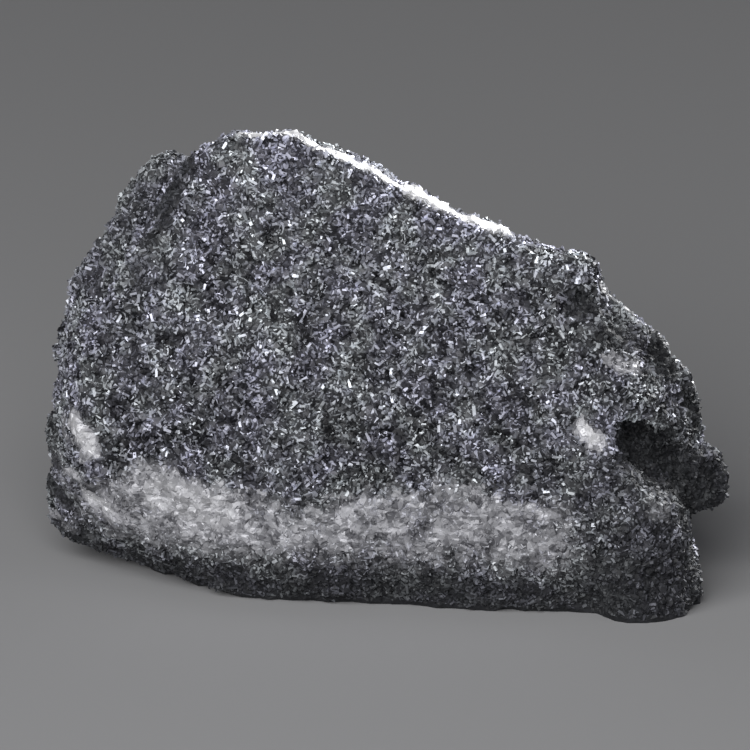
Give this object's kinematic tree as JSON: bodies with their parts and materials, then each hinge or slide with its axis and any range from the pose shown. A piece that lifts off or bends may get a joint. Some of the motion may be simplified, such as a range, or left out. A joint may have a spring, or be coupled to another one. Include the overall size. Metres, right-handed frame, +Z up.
{
  "type": "tellurium specimen",
  "caption": "Broken lump of fine-grained native tellurium: broad flat front face, slanting ridge on top, dark hollow at the right end and a pale undercut foot.",
  "frame": {"origin": "centre of the footprint box, on the plane that the specimen rests on", "axes": "+X to the right along the longest side, -Y towards the viewer of the broad front face, +Z up"},
  "size_m": [0.0448, 0.0262, 0.0312],
  "materials": {
    "native_tellurium": "bright, finely granular broken metal with dark gaps between the grains and a faint brown and violet tarnish"
  },
  "bodies": {
    "root": {"tellurium": "native_tellurium"}
  },
  "joints": []
}
